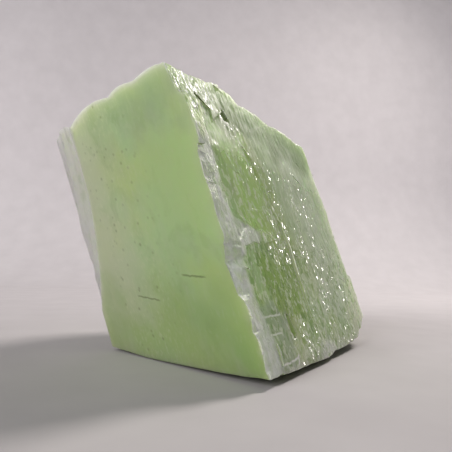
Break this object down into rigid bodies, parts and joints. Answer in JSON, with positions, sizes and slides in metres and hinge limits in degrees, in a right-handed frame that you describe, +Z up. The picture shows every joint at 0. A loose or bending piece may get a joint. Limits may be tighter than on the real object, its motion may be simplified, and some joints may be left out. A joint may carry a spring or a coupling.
{
  "type": "green calcite cleavage specimen",
  "caption": "Leaning block of translucent green calcite, split along its cleavage, with a crushed front edge, a stepped right face and a lumpy broken top.",
  "frame": {"origin": "middle of the bounding box, on the surface that the block rests on", "axes": "+Z up, +Y away from the sharp front corner, between the two front faces, +X to the right"},
  "size_m": [0.081, 0.0837, 0.0539],
  "materials": {
    "green_calcite": "translucent, waxy on the smooth left face and sparkling on the rough right face"
  },
  "bodies": {
    "root": {"green_calcite": "green_calcite"}
  },
  "joints": []
}
